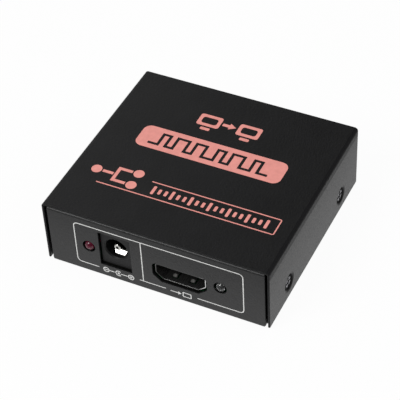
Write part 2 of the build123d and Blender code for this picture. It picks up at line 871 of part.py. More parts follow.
with BuildPart() as power_jack_switch_terminal:
    with BuildSketch(jack.offset(-(switch_terminal_place - terminal_width / 2))):
        with Locations((switch_terminal_side, -terminal_reach)):
            Rectangle(
                terminal_sheet,
                terminal_reach + switch_arm_height + terminal_sheet,
                align=(Align.CENTER, Align.MIN),
            )
    extrude(amount=-terminal_width)
    with BuildSketch(jack.offset(-(switch_terminal_place - switch_arm_width / 2))):
        with Locations((switch_arm_reach, switch_arm_height)):
            Rectangle(
                switch_terminal_side - switch_arm_reach,
                terminal_sheet,
                align=(Align.MIN, Align.MIN),
            )
    extrude(amount=-switch_arm_width)
power_jack_switch_terminal.part.label = "power_jack_switch_terminal"
export_step(power_jack_switch_terminal.part, "parts/power_jack_switch_terminal.step")

# Lights: a domed lens with a flange, and two leads bent down into the board
for name, (x, side) in lights.items():
    tip = seat(x, side, -led_protrusion)
    axis_height = led_height - board_top
    profile = flank(tip)

    with BuildPart() as lens:
        with BuildSketch(profile):
            with Locations((0, axis_height)):
                with BuildLine():
                    Line((0, axis_height), (led_length, axis_height))
                    Polyline(
                        (led_length, axis_height),
                        (led_length, axis_height + led_flange / 2),
                        (led_length - led_flange_thickness, axis_height + led_flange / 2),
                        (led_length - led_flange_thickness, axis_height + led_width / 2),
                        (led_width / 2, axis_height + led_width / 2),
                    )
                    CenterArc((led_width / 2, axis_height), led_width / 2, 90, 90)
            make_face()
        lens_axis = Axis(profile.from_local_coords((0, axis_height, 0)), profile.x_dir)
        revolve(axis=lens_axis)
        with BuildSketch(tip.offset(-led_length)):
            with Locations((led_flange / 2, axis_height)):
                Rectangle(2 * led_flange_flat, led_flange)
        extrude(amount=led_flange_thickness, mode=Mode.SUBTRACT)
    lens.part.label = f"{name}_led_lens"
    export_step(lens.part, f"parts/{name}_led_lens.step")

    with BuildPart() as leads:
        with BuildSketch(*[profile.offset(hand * led_lead_pitch / 2) for hand in SIDES]):
            with BuildLine():
                lead_run = FilletPolyline(
                    (led_length, axis_height + led_lead / 2),
                    (led_lead_place + led_lead / 2, axis_height + led_lead / 2),
                    (led_lead_place + led_lead / 2, -board_thickness - led_lead_protrusion),
                    radius=led_lead_bend + led_lead / 2,
                )
                offset(lead_run, amount=led_lead, side=Side.RIGHT)
            make_face()
        extrude(amount=led_lead / 2, both=True)
    leads.part.label = f"{name}_led_leads"
    export_step(leads.part, f"parts/{name}_led_leads.step")

# Splitter chip
with BuildPart() as splitter_chip_body:
    with BuildSketch(Plane.XY.offset(board_top + chip_lift)):
        with Locations((chip_x, 0)):
            Rectangle(chip_side, chip_side)
    extrude(amount=chip_thickness)
    chamfer(splitter_chip_body.faces().sort_by(Axis.Z)[-1].edges(), chip_bevel)
splitter_chip_body.part.label = "splitter_chip_body"
export_step(splitter_chip_body.part, "parts/splitter_chip_body.step")

with BuildPart() as splitter_chip_leads:
    for quarter in range(4):
        rows = lead_planes((chip_x, 0), 90 * quarter, chip_lead_count, chip_lead_pitch)
        with BuildSketch(*rows):
            Polygon(
                *gull_wing(
                    chip_side / 2, chip_span / 2, chip_lift + chip_thickness / 2, chip_foot, chip_lead_sheet
                ),
                align=None,
            )
        extrude(amount=chip_lead_width / 2, both=True)
splitter_chip_leads.part.label = "splitter_chip_leads"
export_step(splitter_chip_leads.part, "parts/splitter_chip_leads.step")

# Memory chip, its rows of leads to the front and the back
with BuildPart() as memory_chip_body:
    with BuildSketch(Plane.XY.offset(board_top + memory_lift)):
        with Locations((memory_x, 0)):
            Rectangle(memory_length, memory_width)
    extrude(amount=memory_thickness)
    chamfer(memory_chip_body.faces().sort_by(Axis.Z)[-1].edges(), chip_bevel)
memory_chip_body.part.label = "memory_chip_body"
export_step(memory_chip_body.part, "parts/memory_chip_body.step")

with BuildPart() as memory_chip_leads:
    for angle in (-90, 90):
        rows = lead_planes((memory_x, 0), angle, memory_lead_count, memory_lead_pitch)
        with BuildSketch(*rows):
            Polygon(
                *gull_wing(
                    memory_width / 2,
                    memory_span / 2,
                    memory_lift + memory_thickness / 2,
                    memory_foot,
                    memory_lead_sheet,
                ),
                align=None,
            )
        extrude(amount=memory_lead_width / 2, both=True)
memory_chip_leads.part.label = "memory_chip_leads"
export_step(memory_chip_leads.part, "parts/memory_chip_leads.step")

# Voltage regulators: three leads on one side and a wide tab on the other
regulator_places = [(regulator_x, hand * regulator_y) for hand in SIDES]
with BuildPart() as regulator_bodies:
    with BuildSketch(Plane.XY.offset(board_top + regulator_lift)):
        with Locations(regulator_places):
            Rectangle(regulator_length, regulator_width)
    extrude(amount=regulator_thickness)
    chamfer(regulator_bodies.faces().group_by(Axis.Z)[-1].edges(), chip_bevel)
regulator_bodies.part.label = "regulator_bodies"
export_step(regulator_bodies.part, "parts/regulator_bodies.step")

with BuildPart() as regulator_leads:
    for place in regulator_places:
        for angle, count, width in (
            (-90, regulator_lead_count, regulator_lead_width),
            (90, 1, regulator_tab_width),
        ):
            rows = lead_planes(place, angle, count, regulator_lead_pitch)
            with BuildSketch(*rows):
                Polygon(
                    *gull_wing(
                        regulator_width / 2,
                        regulator_span / 2,
                        regulator_lift + regulator_thickness / 2,
                        regulator_foot,
                        regulator_lead_sheet,
                    ),
                    align=None,
                )
            extrude(amount=width / 2, both=True)
regulator_leads.part.label = "regulator_leads"
export_step(regulator_leads.part, "parts/regulator_leads.step")

# Input diode behind the power jack
with BuildPart() as input_diode_body:
    with BuildSketch(Plane.XY.offset(board_top + diode_lift)):
        with Locations((diode_x, diode_y)):
            Rectangle(diode_length, diode_width)
    extrude(amount=diode_thickness)
    chamfer(input_diode_body.faces().sort_by(Axis.Z)[-1].edges(), chip_bevel)
input_diode_body.part.label = "input_diode_body"
export_step(input_diode_body.part, "parts/input_diode_body.step")

with BuildPart() as input_diode_leads:
    for angle in (0, 180):
        with BuildSketch(*lead_planes((diode_x, diode_y), angle, 1, diode_lead_width)):
            Polygon(
                (diode_length / 2, diode_lift + diode_thickness / 2),
                (diode_span / 2, diode_lift + diode_thickness / 2),
                (diode_span / 2, 0),
                (diode_span / 2 - diode_foot, 0),
                (diode_span / 2 - diode_foot, diode_lift),
                (diode_length / 2, diode_lift),
                align=None,
            )
        extrude(amount=diode_lead_width / 2, both=True)
input_diode_leads.part.label = "input_diode_leads"
export_step(input_diode_leads.part, "parts/input_diode_leads.step")

# Crystal: a drawn can on its base, with two leads folded flat under it
with BuildPart() as crystal_can:
    with BuildSketch(Plane.XY.offset(board_top + crystal_lead_sheet)):
        with Locations((crystal_x, 0)):
            SlotOverall(crystal_base_length, crystal_base_width, rotation=90)
    extrude(amount=crystal_base_thickness)
    with BuildSketch(Plane.XY.offset(board_top + crystal_lead_sheet + crystal_base_thickness)):
        with Locations((crystal_x, 0)):
            SlotOverall(crystal_length, crystal_width, rotation=90)
    extrude(amount=crystal_height)
    fillet(crystal_can.faces().sort_by(Axis.Z)[-1].edges(), crystal_top_round)
crystal_can.part.label = "crystal_can"
export_step(crystal_can.part, "parts/crystal_can.step")

with BuildPart() as crystal_leads:
    with BuildSketch(Plane.XY.offset(board_top)):
        with Locations((crystal_x, 0)):
            with GridLocations(0, crystal_base_length, 1, 2):
                Rectangle(crystal_lead_width, crystal_lead_length)
    extrude(amount=crystal_lead_sheet)
crystal_leads.part.label = "crystal_leads"
export_step(crystal_leads.part, "parts/crystal_leads.step")

# Electrolytic capacitors: a can with a rounded rim on a square base with two cut corners
capacitor_places = [(capacitor_x, hand * capacitor_y) for hand in SIDES]
with BuildSketch() as capacitor_foot:
    Rectangle(capacitor_base_side, capacitor_base_side)
    chamfer(capacitor_foot.vertices().group_by(Axis.X)[-1], capacitor_base_corner)

with BuildPart() as capacitor_bases:
    with BuildSketch(Plane.XY.offset(board_top)):
        with Locations(capacitor_places):
            add(capacitor_foot.sketch)
    extrude(amount=capacitor_base_thickness)
capacitor_bases.part.label = "capacitor_bases"
export_step(capacitor_bases.part, "parts/capacitor_bases.step")

with BuildPart() as capacitor_cans:
    with BuildSketch(Plane.XY.offset(board_top + capacitor_base_thickness)):
        with Locations(capacitor_places):
            Circle(capacitor_width / 2)
    extrude(amount=capacitor_height)
    fillet(capacitor_cans.faces().group_by(Axis.Z)[-1].edges(), capacitor_round)
capacitor_cans.part.label = "capacitor_cans"
export_step(capacitor_cans.part, "parts/capacitor_cans.step")

# Chip capacitors in a column on each side of the splitter chip
with BuildPart() as chip_capacitors:
    with BuildSketch(Plane.XY.offset(board_top)):
        with Locations((chip_x, 0)):
            with GridLocations(2 * column_place, column_pitch, 2, chip_capacitor_count):
                Rectangle(small_chip_length, small_chip_width)
    extrude(amount=chip_capacitor_thickness)
chip_capacitors.part.label = "chip_capacitors"
export_step(chip_capacitors.part, "parts/chip_capacitors.step")

# Chip resistors in a row behind each socket, with a surge array at each end of the row
row_places = [(x, side * (tray_depth / 2 - small_row_place)) for x, side in sockets.values()]
with BuildPart() as chip_resistors:
    with BuildSketch(Plane.XY.offset(board_top)):
        with Locations(row_places):
            with GridLocations(resistor_pitch, 0, resistor_count, 1):
                Rectangle(small_chip_width, small_chip_length)
    extrude(amount=resistor_thickness)
chip_resistors.part.label = "chip_resistors"
export_step(chip_resistors.part, "parts/chip_resistors.step")

with BuildPart() as surge_arrays:
    with BuildSketch(Plane.XY.offset(board_top)):
        with Locations(row_places):
            with GridLocations(array_pitch, 0, 2, 1):
                Rectangle(array_width, array_length)
    extrude(amount=array_thickness)
surge_arrays.part.label = "surge_arrays"
export_step(surge_arrays.part, "parts/surge_arrays.step")
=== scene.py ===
import json
from math import cos, pi, radians, sin

import bmesh
import bpy
from mathutils import Matrix, Vector


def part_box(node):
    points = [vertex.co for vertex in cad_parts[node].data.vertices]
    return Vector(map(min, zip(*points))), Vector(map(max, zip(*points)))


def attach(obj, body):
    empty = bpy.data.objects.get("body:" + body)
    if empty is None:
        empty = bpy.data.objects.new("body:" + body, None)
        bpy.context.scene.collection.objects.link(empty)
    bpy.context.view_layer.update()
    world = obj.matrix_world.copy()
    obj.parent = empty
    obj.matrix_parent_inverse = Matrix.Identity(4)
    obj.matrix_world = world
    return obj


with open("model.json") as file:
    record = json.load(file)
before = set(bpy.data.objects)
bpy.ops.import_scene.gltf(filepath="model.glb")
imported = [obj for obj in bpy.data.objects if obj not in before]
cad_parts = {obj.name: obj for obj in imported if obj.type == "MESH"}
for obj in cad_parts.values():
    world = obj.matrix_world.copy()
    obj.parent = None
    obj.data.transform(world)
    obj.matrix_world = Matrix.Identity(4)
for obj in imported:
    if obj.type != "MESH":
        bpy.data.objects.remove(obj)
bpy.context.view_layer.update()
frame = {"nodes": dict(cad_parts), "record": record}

# A signal splitter in a folded sheet-metal case, dressed over its CAD frame. Lengths are in metres.

MM = 0.001
UNIT = "unit"

cover_low, cover_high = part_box("top_cover")
tray_low, tray_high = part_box("base_tray")
case_width = cover_high[0] - cover_low[0]
case_height = cover_high[2]

# Camera, fitted to the case's edges in the photograph
camera_azimuth = radians(27.91)
camera_elevation = radians(43.33)
camera_roll = radians(-3.28)
camera_distance_share = 6.322
camera_pan_right_share = -0.0179
camera_pan_up_share = -0.0349
camera_aim_lift = 0.1 * MM
camera_lens = 136.7
camera_sensor = 36.0

# Light in the surroundings, and what mirrors see of the world and of the floor beside and ahead of the case
key_place = (-0.26, -0.52, 0.50)
key_size = 0.36
key_power = 2.6
fill_place = (0.60, 0.05, 0.52)
fill_size = 0.40
fill_power = 1.0
soft_light = 0.5
mirrored_left = 0.66
mirrored_right = 0.01
mirror_fade_start = -0.55
mirror_fade_end = -0.28
floor_glow_share = 0.95
beside_near = 0.87
beside_far = 0.30
beside_start = 41 * MM
beside_end = 53 * MM
ahead_near = 1.05
ahead_far = 0.35
ahead_start = -38 * MM
ahead_end = -62 * MM

# Print
print_height = 0.02 * MM
print_line = 0.28 * MM
arc_steps = 10


# Node helpers


def combine(tree, operation, *values):
    """One number from one or two others, each a constant or a socket."""
    node = tree.nodes.new("ShaderNodeMath")
    node.operation = operation
    for socket, value in zip(node.inputs, values):
        if isinstance(value, (int, float)):
            socket.default_value = value
        else:
            tree.links.new(value, socket)
    return node.outputs[0]


def spread(tree, value, low, high, start=0.3, end=0.7):
    """The value's range from start to end, spread over a new range. The default suits noise."""
    mapped = tree.nodes.new("ShaderNodeMapRange")
    mapped.inputs["From Min"].default_value = start
    mapped.inputs["From Max"].default_value = end
    mapped.inputs["To Min"].default_value = low
    mapped.inputs["To Max"].default_value = high
    tree.links.new(value, mapped.inputs["Value"])
    return mapped.outputs["Result"]


def axes_of(tree, place):
    """The X, Y and Z of a place."""
    parts = tree.nodes.new("ShaderNodeSeparateXYZ")
    tree.links.new(place, parts.inputs[0])
    return parts.outputs


def away_from(tree, place, axis, middle):
    """How far a coordinate is from a middle, on either side."""
    return combine(tree, "ABSOLUTE", combine(tree, "SUBTRACT", axes_of(tree, place)[axis], middle))


def reaches_past(tree, place, axis, middle, reach):
    """One where a coordinate is further than a reach from a middle, on either side, and nought between."""
    return combine(tree, "GREATER_THAN", away_from(tree, place, axis, middle), reach)


def diagonal(tree, first, second):
    """The length that two legs at right angles span."""
    legs = tree.nodes.new("ShaderNodeCombineXYZ")
    tree.links.new(first, legs.inputs[0])
    tree.links.new(second, legs.inputs[1])
    length = tree.nodes.new("ShaderNodeVectorMath")
    length.operation = "LENGTH"
    tree.links.new(legs.outputs[0], length.inputs[0])
    return length.outputs["Value"]


def noise(tree, place, grain, detail=2.0, stretch=(1.0, 1.0, 1.0)):
    """Noise whose grain is a length in metres, stretched along the axes."""
    mapping = tree.nodes.new("ShaderNodeMapping")
    mapping.inputs["Scale"].default_value = stretch
    tree.links.new(place, mapping.inputs["Vector"])
    texture = tree.nodes.new("ShaderNodeTexNoise")
    texture.inputs["Scale"].default_value = 1 / grain
    texture.inputs["Detail"].default_value = detail
    tree.links.new(mapping.outputs[0], texture.inputs["Vector"])
    return texture.outputs["Fac"]


def linear(red, green, blue):
    """A linear colour from display values of 0 to 255."""
    return tuple(
        value / 255 / 12.92 if value <= 10 else ((value / 255 + 0.055) / 1.055) ** 2.4
        for value in (red, green, blue)
    )


def darkened(colour, share):
    """A colour at a share of its brightness."""
    return tuple(share * value for value in colour)


def blend_colours(tree, share, first, second):
    """A colour between two colours, each a constant or a socket."""
    mix = tree.nodes.new("ShaderNodeMix")
    mix.data_type = "RGBA"
    tree.links.new(share, mix.inputs["Factor"])
    for socket, colour in ((mix.inputs[6], first), (mix.inputs[7], second)):
        if isinstance(colour, tuple):
            socket.default_value = (*colour, 1.0)
        else:
            tree.links.new(colour, socket)
    return mix.outputs[2]


def blend_shaders(tree, share, first, second):
    """A shader between two shaders."""
    mix = tree.nodes.new("ShaderNodeMixShader")
    tree.links.new(share, mix.inputs["Fac"])
    tree.links.new(first, mix.inputs[1])
    tree.links.new(second, mix.inputs[2])
    return mix.outputs[0]


def bump(tree, shader, height, depth, strength=1.0):
    """Raise the surface by a height field, over a depth in metres."""
    relief = tree.nodes.new("ShaderNodeBump")
    relief.inputs["Strength"].default_value = strength
    relief.inputs["Distance"].default_value = depth
    tree.links.new(height, relief.inputs["Height"])
    tree.links.new(relief.outputs[0], shader.inputs["Normal"])


# Camera, lamps and surroundings


def make_camera():
    """Place the camera by its angles round the case's middle, with a small pan and roll."""
    back = Vector(
        (
            sin(camera_azimuth) * cos(camera_elevation),
            -cos(camera_azimuth) * cos(camera_elevation),
            sin(camera_elevation),
        )
    )
    level = Vector((cos(camera_azimuth), sin(camera_azimuth), 0.0))
    upright = back.cross(level)
    right = level * cos(camera_roll) + upright * sin(camera_roll)
    up = upright * cos(camera_roll) - level * sin(camera_roll)
    middle = Vector((0.0, 0.0, (cover_low[2] + cover_high[2]) / 2 + camera_aim_lift))
    place = middle + case_width * (
        back * camera_distance_share + right * camera_pan_right_share + up * camera_pan_up_share
    )
    data = bpy.data.cameras.new("camera")
    data.lens = camera_lens
    data.sensor_width = camera_sensor
    data.clip_start = 0.01
    camera = bpy.data.objects.new("camera", data)
    bpy.context.scene.collection.objects.link(camera)
    camera.matrix_world = Matrix.Translation(place) @ Matrix((right, up, back)).transposed().to_4x4()
    bpy.context.scene.camera = camera


def make_lamp(name, place, size, power):
    """A square area lamp that faces the case."""
    data = bpy.data.lights.new(name, "AREA")
    data.shape = "SQUARE"
    data.size = size
    data.energy = power
    lamp = bpy.data.objects.new(name, data)
    bpy.context.scene.collection.objects.link(lamp)
    lamp.location = place
    lamp.rotation_euler = (-Vector(place)).to_track_quat("-Z", "Y").to_euler()


def seen_directly(tree):
    """The light path, and one for camera, mirror and glass rays but nought for soft light."""
    path = tree.nodes.new("ShaderNodeLightPath")
    mirrored = combine(tree, "MAXIMUM", path.outputs["Is Glossy Ray"], path.outputs["Is Transmission Ray"])
    return path, combine(tree, "MAXIMUM", path.outputs["Is Camera Ray"], mirrored)


def white_background(tree, strength):
    """White light from all round, of a strength that is a constant or a socket."""
    background = tree.nodes.new("ShaderNodeBackground")
    background.inputs["Color"].default_value = (1.0, 1.0, 1.0, 1.0)
    if isinstance(strength, float):
        background.inputs["Strength"].default_value = strength
    else:
        tree.links.new(strength, background.inputs["Strength"])
    return background.outputs[0]


def make_world():
    """White to the camera and through glass, soft light on the rest, and in mirrors dark but on the left."""
    world = bpy.data.worlds.new("studio")
    bpy.context.scene.world = world
    world.use_nodes = True
    tree = world.node_tree
    tree.nodes.clear()
    path, seen = seen_directly(tree)
    way = tree.nodes.new("ShaderNodeTexCoord")
    sideways = axes_of(tree, way.outputs["Generated"])["X"]
    graded = spread(tree, sideways, mirrored_left, mirrored_right, mirror_fade_start, mirror_fade_end)
    direct = blend_shaders(
        tree, path.outputs["Is Glossy Ray"], white_background(tree, 1.0), white_background(tree, graded)
    )
    mixed = blend_shaders(tree, seen, white_background(tree, soft_light), direct)
    output = tree.nodes.new("ShaderNodeOutputWorld")
    tree.links.new(mixed, output.inputs["Surface"])


def make_floor():
    """A pale plain floor that keeps a soft shadow, and in mirrors dims away from the case."""
    half = 40 * case_width
    mesh = bpy.data.meshes.new("floor")
    corners = [(-half, -half, 0), (half, -half, 0), (half, half, 0), (-half, half, 0)]
    mesh.from_pydata(corners, [], [(0, 1, 2, 3)])
    floor = bpy.data.objects.new("floor", mesh)
    bpy.context.scene.collection.objects.link(floor)
    material = bpy.data.materials.new("floor_paint")
    material.use_nodes = True
    tree = material.node_tree
    tree.nodes.clear()
    path, seen = seen_directly(tree)
    paint = tree.nodes.new("ShaderNodeBsdfDiffuse")
    paint.inputs["Color"].default_value = (0.94, 0.94, 0.94, 1.0)
    glow = tree.nodes.new("ShaderNodeEmission")
    glow.inputs["Color"].default_value = (1.0, 1.0, 1.0, 1.0)
    coordinates = tree.nodes.new("ShaderNodeTexCoord")
    axes = axes_of(tree, coordinates.outputs["Object"])
    beside = spread(tree, axes["X"], beside_near, beside_far, beside_start, beside_end)
    ahead = spread(tree, axes["Y"], ahead_far, ahead_near, ahead_end, ahead_start)
    mirrored = tree.nodes.new("ShaderNodeMix")
    mirrored.inputs[2].default_value = 1.0
    tree.links.new(path.outputs["Is Glossy Ray"], mirrored.inputs[0])
    tree.links.new(combine(tree, "MULTIPLY", beside, ahead), mirrored.inputs[3])
    tree.links.new(mirrored.outputs[0], glow.inputs["Strength"])
    share = combine(tree, "MULTIPLY", seen, floor_glow_share)
    output = tree.nodes.new("ShaderNodeOutputMaterial")
    tree.links.new(blend_shaders(tree, share, paint.outputs[0], glow.outputs[0]), output.inputs["Surface"])
    mesh.materials.append(material)


# Materials


def start_material(name, metallic=0.0, specular=0.5):
    """A material with its shader, node tree and object coordinates."""
    material = bpy.data.materials.new(name)
    material.use_nodes = True
    tree = material.node_tree
    shader = tree.nodes["Principled BSDF"]
    shader.inputs["Metallic"].default_value = metallic
    shader.inputs["Specular IOR Level"].default_value = specular
    coordinates = tree.nodes.new("ShaderNodeTexCoord")
    return material, tree, shader, coordinates.outputs["Object"]


def screw_distance(tree, place):
    """How far a point is from the nearest screw's axis, and the radius of a screw's head."""
    low, high = (Vector(corner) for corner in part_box("cover_screws"))
    radius = (high.z - low.z) / 2
    screw_y = (high.y - low.y) / 2 - radius
    along = combine(tree, "SUBTRACT", away_from(tree, place, "Y", (low.y + high.y) / 2), screw_y)
    upwards = away_from(tree, place, "Z", (low.z + high.z) / 2)
    return diagonal(tree, along, upwards), radius


def powder_coat(name):
    """Fine black powder coat: a low orange peel, a slight grain and faint cloudiness."""
    material, tree, shader, place = start_material(name)
    cloud = spread(tree, noise(tree, place, 9 * MM, 3.0), 0.0, 1.0)
    grain = noise(tree, place, 0.45 * MM, 4.0)
    colour = blend_colours(tree, cloud, linear(16, 16, 17), linear(21, 21, 22))
    tree.links.new(colour, shader.inputs["Base Color"])
    tree.links.new(spread(tree, grain, 0.36, 0.48), shader.inputs["Roughness"])
    bump(tree, shader, grain, 0.05 * MM)
    return material, tree, shader, place, colour


def cover_coat():
    """Powder coat, duller on the cover's cut edges, with painted shade in its screw seats and over its side
    bends.
    """
    material, tree, shader, place, colour = powder_coat("cover_powder_coat")
    edge_depth = 0.15 * MM
    bend_width = 0.9 * MM
    bend_start = 2.5 * MM
    bend_end = 3.0 * MM
    cut_edge = reaches_past(tree, place, "Y", 0.0, cover_high[1] - edge_depth)
    outer = reaches_past(tree, place, "X", 0.0, case_width / 2 - bend_width)
    upper = spread(
        tree, axes_of(tree, place)["Z"], 0.0, 1.0, case_height - bend_end, case_height - bend_start
    )
    # Painted shade: a band over each top side bend, paler in colour but far less reflective, so it shows
    # darker.
    painted_bend_shade = combine(tree, "MULTIPLY", upper, outer)
    outwards, radius = screw_distance(tree, place)
    # Painted shadow: a dull ring of coat just outside each screw's seat.
    painted_seat_shadow = spread(tree, outwards, 0.7, 0.0, 1.22 * radius, 1.36 * radius)
    # The cut edges only shine less; the rest of this dulling is painted shade.
    edges = combine(tree, "MULTIPLY", cut_edge, 0.8)
    dull_edges_and_painted_shade = combine(tree, "MAXIMUM", edges, combine(tree, "MAXIMUM", painted_seat_shadow, painted_bend_shade))
    tree.links.new(blend_colours(tree, painted_bend_shade, colour, linear(30, 30, 31)), shader.inputs["Base Color"])
    tree.links.new(spread(tree, dull_edges_and_painted_shade, 0.5, 0.1, 0.0, 1.0), shader.inputs["Specular IOR Level"])
    return material


def moulded(name, dark, light, grain, smooth, rough, depth, specular=0.5):
    """Moulded plastic or resin with a spark-eroded texture."""
    material, tree, shader, place = start_material(name, specular=specular)
    fine = noise(tree, place, grain)
    cloud = spread(tree, noise(tree, place, 20 * grain), 0.0, 1.0)
    tree.links.new(blend_colours(tree, cloud, dark, light), shader.inputs["Base Color"])
    tree.links.new(spread(tree, fine, smooth, rough), shader.inputs["Roughness"])
    bump(tree, shader, fine, depth, 0.5)
    return material


def plated(name, dark, light, smooth, rough, stretch=(1.0, 1.0, 1.0)):
    """Plated or bare metal with rolled streaks and a slightly uneven shine."""
    material, tree, shader, place = start_material(name, metallic=1.0)
    streaks = noise(tree, place, 0.35 * MM, 3.0, stretch)
    cloud = spread(tree, noise(tree, place, 2.5 * MM), 0.0, 1.0)
    tree.links.new(blend_colours(tree, cloud, dark, light), shader.inputs["Base Color"])
    tree.links.new(spread(tree, streaks, smooth, rough), shader.inputs["Roughness"])
    bump(tree, shader, streaks, 0.004 * MM, 0.4)
    return material


def screw_black():
    """Black nickel on steel: a light metal colour, with shade painted dark on the head's rim and in its cross
    recess.
    """
    material, tree, shader, place = start_material("screw_black_nickel", metallic=0.9)
    shader.inputs["Specular Tint"].default_value = (0.3, 0.3, 0.3, 1.0)
    recess_depth = 0.04 * MM
    mottle = spread(tree, noise(tree, place, 0.5 * MM, 3.0), 0.0, 1.0)
    outwards, radius = screw_distance(tree, place)
    # Painted shade: the head's outer rim and its cross recess take the shaded copy of the metal colour.
    rim = spread(tree, outwards, 0.0, 1.0, 0.58 * radius, 0.70 * radius)
    face = reaches_past(tree, place, "X", 0.0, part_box("cover_screws")[1][0] - recess_depth)
    dark = combine(tree, "MAXIMUM", rim, combine(tree, "SUBTRACT", 1.0, face))
    # A lit and a shaded copy of one metal colour; the shaded copy is painted shade.
    shine = blend_colours(tree, mottle, linear(150, 150, 153), linear(206, 206, 209))
    shade = blend_colours(tree, mottle, linear(26, 26, 27), linear(40, 40, 41))
    tree.links.new(blend_colours(tree, dark, shine, shade), shader.inputs["Base Color"])
    tree.links.new(spread(tree, mottle, 0.20, 0.34, 0.0, 1.0), shader.inputs["Roughness"])
    bump(tree, shader, mottle, 0.006 * MM, 0.5)
    return material


def spring_spots(tree, place, middle, mouth, inner_floor):
    """Nought on the crests of a socket's two lower springs, rising to one round them."""
    offset = 2.55 * MM
    crest = 1.9 * MM
    crest_height = 0.36 * MM
    crest_reach = 0.28 * MM
    core = 0.3 * MM
    edge = 0.68 * MM
    away = away_from(tree, place, "X", middle)
    beside = combine(tree, "ABSOLUTE", combine(tree, "SUBTRACT", away, offset))
    inwards = away_from(tree, place, "Y", 0.0)
    behind = combine(tree, "ABSOLUTE", combine(tree, "SUBTRACT", inwards, mouth - crest))
    apart = reaches_past(tree, place, "Z", inner_floor + crest_height, crest_reach)
    beyond = spread(tree, diagonal(tree, beside, behind), 0.0, 1.0, core, edge)
    return combine(tree, "MAXIMUM", beyond, apart)


def socket_shell(name):
    """Nickel on a socket's shell, with a painted highlight on the right of its rim and painted shade inside
    but for the springs.
    """
    material, tree, shader, place = start_material(f"{name}_shell_nickel", metallic=1.0)
    low, high = (Vector(corner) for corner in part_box(f"{name}_socket_shell"))
    inner_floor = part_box(f"{name}_socket_insulator")[0][2]
    mouth = max(abs(low.y), abs(high.y))
    rim_depth = 0.08 * MM
    lit_rim_start = 2.2 * MM
    lit_rim_end = 0.6 * MM
    rim = reaches_past(tree, place, "Y", 0.0, mouth - rim_depth)
    # Painted shade: inside the shell the nickel is a dark, less metallic copy, lighter only on the spring
    # crests.
    painted_shade = spring_spots(tree, place, (low.x + high.x) / 2, mouth, inner_floor)
    streaks = noise(tree, place, 0.35 * MM, 3.0, (1.0, 0.15, 1.0))
    cloud = spread(tree, streaks, 0.0, 1.0)
    painted_inside_shade = blend_colours(tree, cloud, linear(42, 42, 42), linear(50, 50, 49))
    spring = blend_colours(tree, cloud, linear(100, 99, 97), linear(122, 121, 118))
    # Painted highlight: the rim runs from a dim copy of the nickel to a bright one towards its right end.
    painted_light_rightwards = spread(tree, axes_of(tree, place)["X"], 0.0, 1.0, high.x - lit_rim_start, high.x - lit_rim_end)
    painted_dim_rim = blend_colours(tree, cloud, linear(90, 90, 89), linear(112, 112, 111))
    painted_lit_rim = blend_colours(tree, cloud, linear(206, 206, 205), linear(232, 232, 231))
    bright = blend_colours(tree, painted_light_rightwards, painted_dim_rim, painted_lit_rim)
    painted_recess_shade = blend_colours(tree, painted_shade, spring, painted_inside_shade)
    tree.links.new(blend_colours(tree, rim, painted_recess_shade, bright), shader.inputs["Base Color"])
    metal = combine(tree, "MAXIMUM", rim, spread(tree, painted_shade, 0.15, 0.4, 0.0, 1.0))
    tree.links.new(metal, shader.inputs["Metallic"])
    tree.links.new(spread(tree, streaks, 0.22, 0.34), shader.inputs["Roughness"])
    bump(tree, shader, streaks, 0.002 * MM, 0.3)
    return material


def jack_contact(name, node_name, start, end):
    """Nickel on a contact of the jack, bright between two depths behind its front, with painted shade
    elsewhere.
    """
    material, tree, shader, place = start_material(name, metallic=1.0)
    node = frame["nodes"][node_name]
    front = (node.matrix_world.inverted() @ Vector(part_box(node_name)[0])).y
    # Painted shade: outside the band between the two depths the nickel is a dark copy.
    painted_shade_zone = reaches_past(tree, place, "Y", front + (start + end) / 2, (end - start) / 2)
    streaks = noise(tree, place, 0.3 * MM, 3.0, (1.0, 0.2, 1.0))
    cloud = spread(tree, streaks, 0.0, 1.0)
    bright = blend_colours(tree, cloud, linear(190, 189, 185), linear(222, 221, 217))
    painted_shade = blend_colours(tree, cloud, linear(30, 30, 29), linear(44, 44, 43))
    tree.links.new(blend_colours(tree, painted_shade_zone, bright, painted_shade), shader.inputs["Base Color"])
    tree.links.new(spread(tree, streaks, 0.16, 0.26), shader.inputs["Roughness"])
    bump(tree, shader, streaks, 0.002 * MM, 0.3)
    return material


def board_laminate():
    """Green solder mask over copper tracks, with painted shade on the board's cut edges."""
    material, tree, shader, place = start_material("board_laminate")
    low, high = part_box("circuit_board")
    tracks = tree.nodes.new("ShaderNodeTexBrick")
    tracks.inputs["Scale"].default_value = 1.0
    tracks.inputs["Brick Width"].default_value = 3.1 * MM
    tracks.inputs["Row Height"].default_value = 0.55 * MM
    tracks.inputs["Mortar Size"].default_value = 0.09 * MM
    tracks.inputs["Color1"].default_value = (*linear(14, 84, 48), 1.0)
    tracks.inputs["Color2"].default_value = (*linear(10, 66, 38), 1.0)
    tracks.inputs["Mortar"].default_value = (*linear(6, 44, 26), 1.0)
    tree.links.new(place, tracks.inputs["Vector"])
    thickness = high[2] - low[2]
    face = reaches_past(tree, place, "Z", (high[2] + low[2]) / 2, thickness * 0.49)
    fibre = spread(tree, noise(tree, place, 0.3 * MM, 3.0, (1.0, 1.0, 4.0)), 0.0, 1.0)
    # Painted shade: the cut edges are near black, mottled by the fibre noise.
    edge = blend_colours(tree, fibre, linear(20, 20, 19), linear(30, 30, 27))
    tree.links.new(blend_colours(tree, face, edge, tracks.outputs["Color"]), shader.inputs["Base Color"])
    tree.links.new(spread(tree, fibre, 0.28, 0.40, 0.0, 1.0), shader.inputs["Roughness"])
    bump(tree, shader, tracks.outputs["Fac"], -0.03 * MM, 0.5)
    return material


